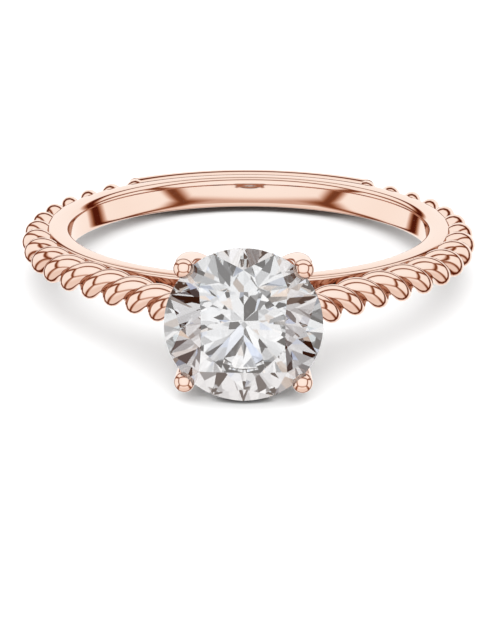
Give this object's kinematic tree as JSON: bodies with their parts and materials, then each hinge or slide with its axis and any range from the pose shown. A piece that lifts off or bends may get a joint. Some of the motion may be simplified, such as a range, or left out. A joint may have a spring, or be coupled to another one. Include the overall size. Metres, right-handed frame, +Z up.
{
  "type": "twisted shank ring",
  "caption": "Finger ring with a flat polished rail, twisted wire shoulders, a plain wire back and a four-prong head holding one round brilliant.",
  "frame": {"origin": "centre of the ring's footprint, on the surface that it lies on", "axes": "+Z up from the surface, -Y towards the stone, X across the ring"},
  "size_m": [0.0218, 0.0262, 0.0069],
  "materials": {
    "gold": "polished rose gold",
    "stone": "clear faceted stone"
  },
  "bodies": {
    "root": {"band_and_head": "gold", "strand_left_a": "gold", "strand_left_b": "gold", "strand_right_a": "gold", "strand_right_b": "gold", "stone": "stone"}
  },
  "joints": []
}
